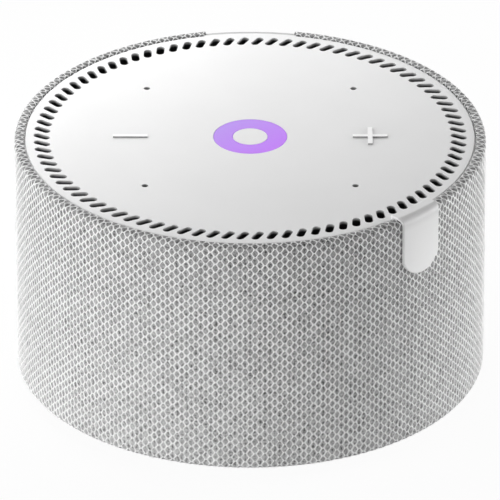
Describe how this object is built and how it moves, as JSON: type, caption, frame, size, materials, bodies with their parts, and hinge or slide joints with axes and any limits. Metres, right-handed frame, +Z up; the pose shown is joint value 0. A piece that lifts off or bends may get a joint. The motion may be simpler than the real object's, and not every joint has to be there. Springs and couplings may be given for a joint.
{
  "type": "smart speaker",
  "caption": "Low round smart speaker with a net fabric side, a white slotted top with touch marks, a lit ring and a hanging tab, and a rear panel with power socket and switch.",
  "frame": {"origin": "On the axis of the round body, at the level of the surface that the rubber foot stands on.", "axes": "+Z is up along the axis of the body. -Y is the front that faces the listener, +Y is the rear with the power socket. +X is to the right seen from the front, the side of the plus mark."},
  "size_m": [0.098, 0.098, 0.0547],
  "materials": {
    "cover_white": "fine satin grain",
    "light_purple": "clear, lit from below",
    "scrim_black": "fine black cloth",
    "net_fabric": "light grey knitted net over a darker ground",
    "base_grey": "fine grain",
    "foot_rubber": "matt",
    "inner_black": "moulded, as from the tool",
    "screw_steel": "zinc plated",
    "seal_foam": "closed-cell foam",
    "soft_rubber": "soft moulded rubber",
    "foam_grey": "conductive foam",
    "basket_steel": "black powder coat",
    "yoke_steel": "zinc plated",
    "magnet_nickel": "nickel plated",
    "coil_copper": "enamelled copper wire",
    "cone_paper": "coated paper",
    "spider_cloth": "resin-stiffened cloth",
    "fibre_tan": "fibre board",
    "lead_sheath": "soft sheath",
    "board_green": "solder mask",
    "chip_black": "moulded epoxy",
    "tin_steel": "tin plated",
    "spreader_metal": "milled",
    "pad_blue": "soft gap filler",
    "lamp_clear": "clear lens",
    "well_white": "white moulding",
    "plug_cream": "moulded",
    "ribbon_film": "polyester film"
  },
  "bodies": {
    "speaker_body": {"baffle": "inner_black", "baffle_screws": "screw_steel", "base_plate": "base_grey", "base_screws": "screw_steel", "board_chips": "chip_black", "board_screws": "screw_steel", "centre_cap": "cover_white", "chamber_cup": "inner_black", "chamber_screws": "screw_steel", "chamber_seal": "seal_foam", "cover_screws": "screw_steel", "driver_basket": "basket_steel", "driver_gasket": "seal_foam", "driver_magnet": "magnet_nickel", "driver_pole_plate": "yoke_steel", "driver_screws": "screw_steel", "driver_spider": "spider_cloth", "driver_surround": "soft_rubber", "driver_terminal": "fibre_tan", "driver_yoke": "yoke_steel", "fabric_sleeve": "net_fabric", "grille_shell": "inner_black", "heat_spreader": "spreader_metal", "lead_grommet": "soft_rubber", "lead_header": "plug_cream", "light_well": "well_white", "light_window": "light_purple", "main_board": "board_green", "mic_capsules": "tin_steel", "mic_gaskets": "soft_rubber", "mute_switch_body": "chip_black", "rear_panel": "cover_white", "ribbon_cable": "ribbon_film", "ribbon_plugs": "plug_cream", "rubber_foot": "foot_rubber", "shield_can": "tin_steel", "slot_scrim": "scrim_black", "speaker_leads": "lead_sheath", "status_leds": "lamp_clear", "thermal_pad": "pad_blue", "top_cover": "cover_white", "top_frame": "inner_black", "touch_board": "board_green", "touch_pads": "foam_grey", "usb_socket_shell": "tin_steel", "usb_socket_tongue": "chip_black", "wifi_antennas": "tin_steel"},
    "cone_assembly": {"driver_cone": "cone_paper", "dust_cap": "cone_paper", "voice_coil": "coil_copper"},
    "mute_slider": {"mute_knob": "cover_white"}
  },
  "joints": [
    {"name": "cone_travel", "type": "slide", "parent": "speaker_body", "child": "cone_assembly", "axis": [0, 0, 1], "range_m": [-0.002, 0.002], "stiffness_N_per_m": 1500, "deforming": ["driver_surround", "driver_spider"]},
    {"name": "mute_slide", "type": "slide", "parent": "speaker_body", "child": "mute_slider", "axis": [1, 0, 0], "range_m": [0, 0.002]}
  ]
}
